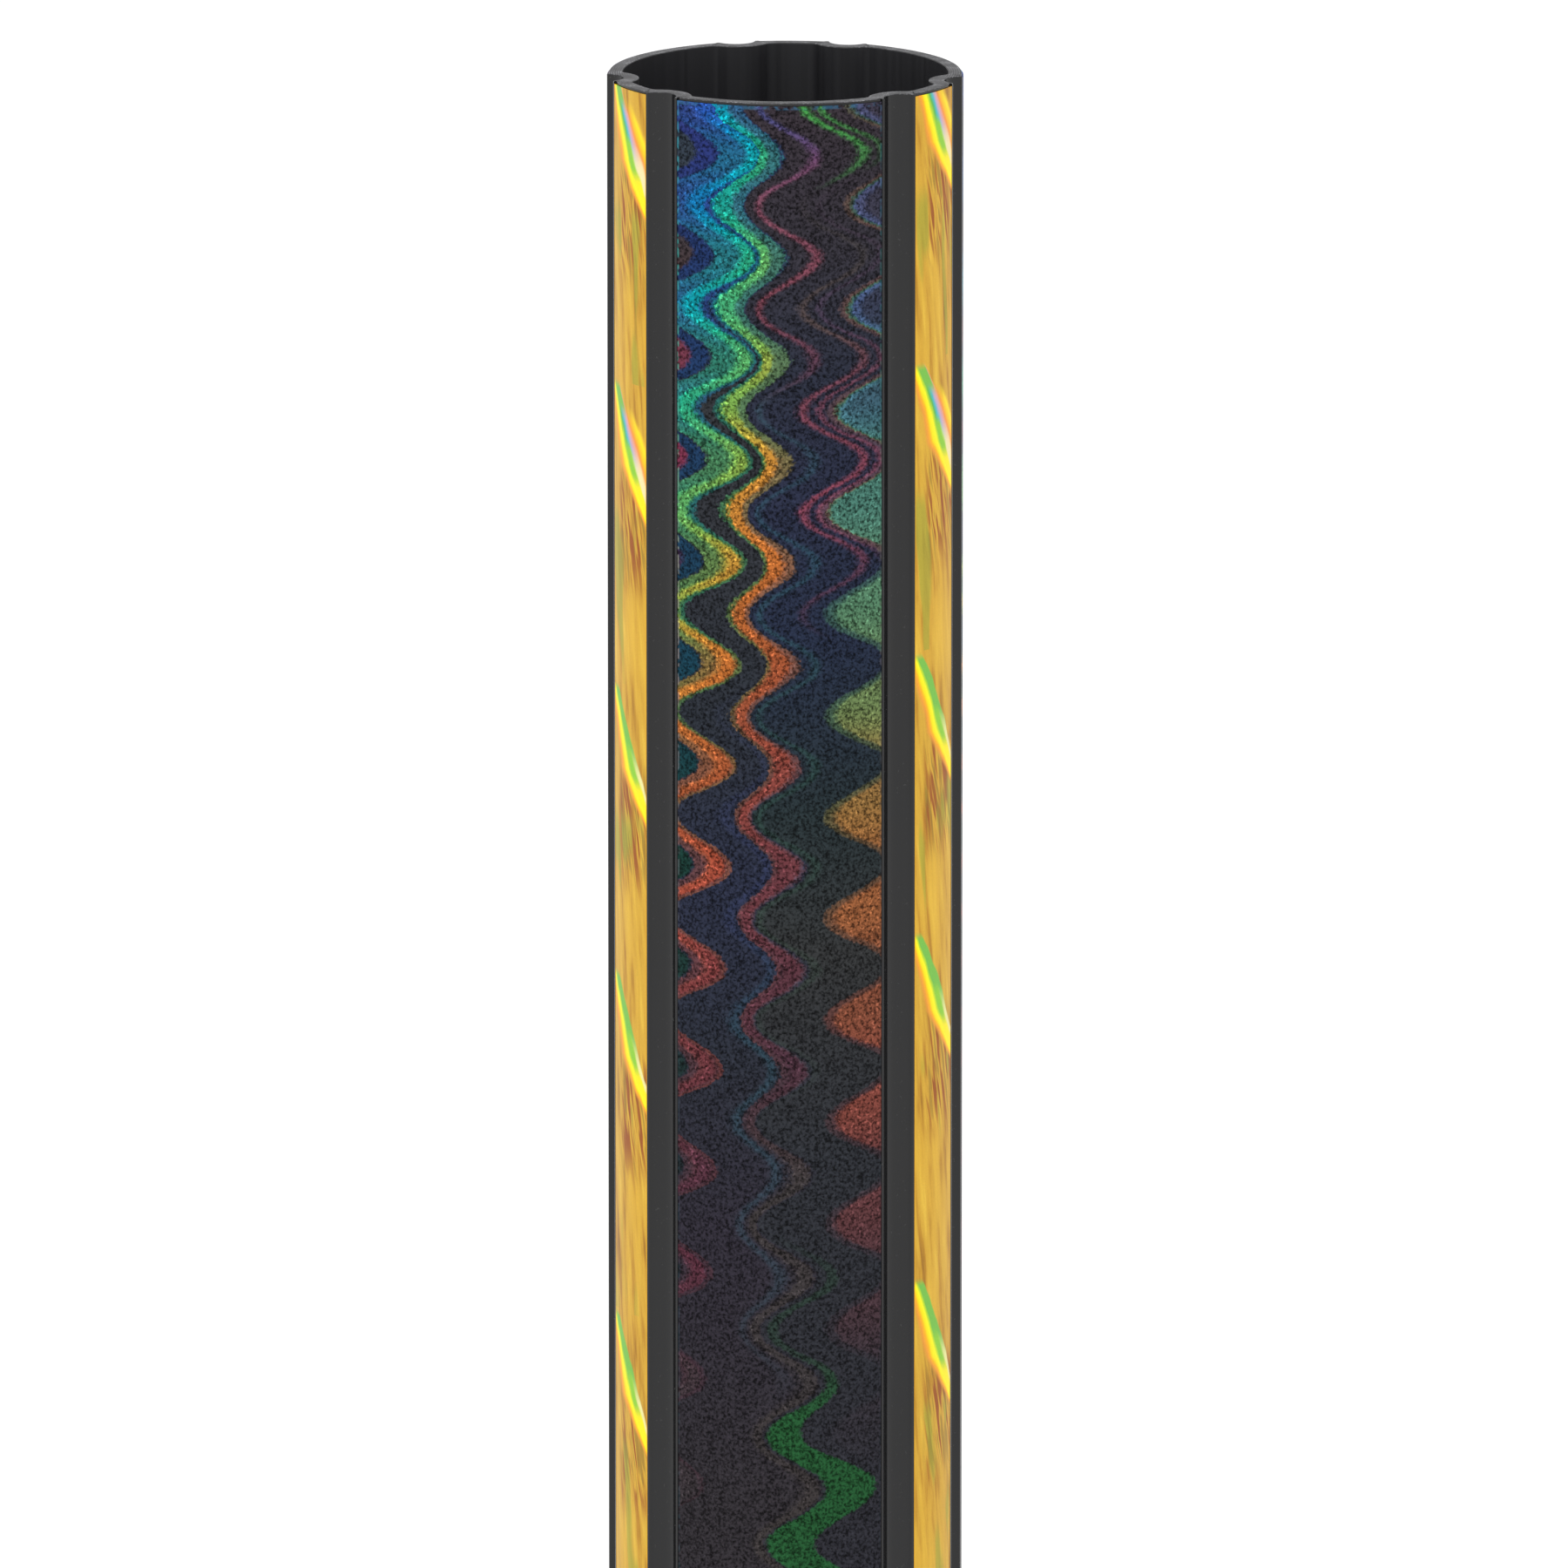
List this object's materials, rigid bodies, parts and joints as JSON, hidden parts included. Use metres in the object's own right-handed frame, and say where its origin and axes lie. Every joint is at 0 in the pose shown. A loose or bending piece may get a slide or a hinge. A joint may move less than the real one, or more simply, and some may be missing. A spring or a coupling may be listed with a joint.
{
  "type": "kaleidoscope",
  "caption": "Hand-held kaleidoscope: a fluted black tube with wave-pattern and gold foil panels, mirrors inside, a recessed eyepiece and a turning object cell.",
  "frame": {"origin": "centre of the turning ring's foot, on the surface that the kaleidoscope stands on", "axes": "+Z along the tube towards the eyepiece, -Y out through the middle of the front foil panel"},
  "size_m": [0.0588, 0.0588, 0.254],
  "materials": {
    "tube_plastic": "gloss",
    "wave_foil": "gloss",
    "gold_foil": "gloss",
    "mirror": "polished",
    "wrap_film": "matte",
    "foam": "matte",
    "clear_acrylic": "gloss",
    "clear_glass": "gloss",
    "frosted_acrylic": "satin",
    "matt_plastic": "satin",
    "spring_steel": "satin",
    "felt": "matte",
    "grip_rubber": "satin",
    "bead_glass": "gloss",
    "chip_acrylic": "gloss",
    "rod_glass": "gloss",
    "ring_acrylic": "gloss"
  },
  "bodies": {
    "tube": {"body_tube": "tube_plastic", "wave_film_front": "wave_foil", "wave_film_rear_right": "wave_foil", "wave_film_rear_left": "wave_foil", "gold_film_left": "gold_foil", "gold_film_right": "gold_foil", "gold_film_rear": "gold_foil", "mirror_base": "mirror", "mirror_right": "mirror", "mirror_left": "mirror", "mirror_wrap": "wrap_film", "cradle_lower": "foam", "cradle_middle": "foam", "cradle_upper": "foam", "mirror_gasket": "foam", "eyepiece_plate": "tube_plastic", "eye_lens": "clear_acrylic", "lens_retainer": "matt_plastic", "end_collar": "tube_plastic", "mirror_end_glass": "clear_glass", "cell_clip": "spring_steel", "friction_washer": "felt"},
    "cell": {"turning_ring": "tube_plastic", "grip_band": "grip_rubber", "cell_window": "clear_acrylic", "cell_spacer": "matt_plastic", "cell_diffuser": "frosted_acrylic", "cell_lock_ring": "matt_plastic"},
    "loose_pieces": {"tumbling_beads": "bead_glass", "tumbling_chips": "chip_acrylic", "tumbling_rods": "rod_glass", "tumbling_rings": "ring_acrylic"}
  },
  "joints": [
    {"name": "cell_turn", "type": "hinge", "parent": "tube", "child": "cell", "pos_m": [0, 0, 0.0268], "axis": [0, 0, 1], "continuous": true},
    {"name": "pieces_tumble", "type": "hinge", "parent": "cell", "child": "loose_pieces", "pos_m": [0, 0, 0.0072], "axis": [0, 0, 1], "continuous": true}
  ]
}
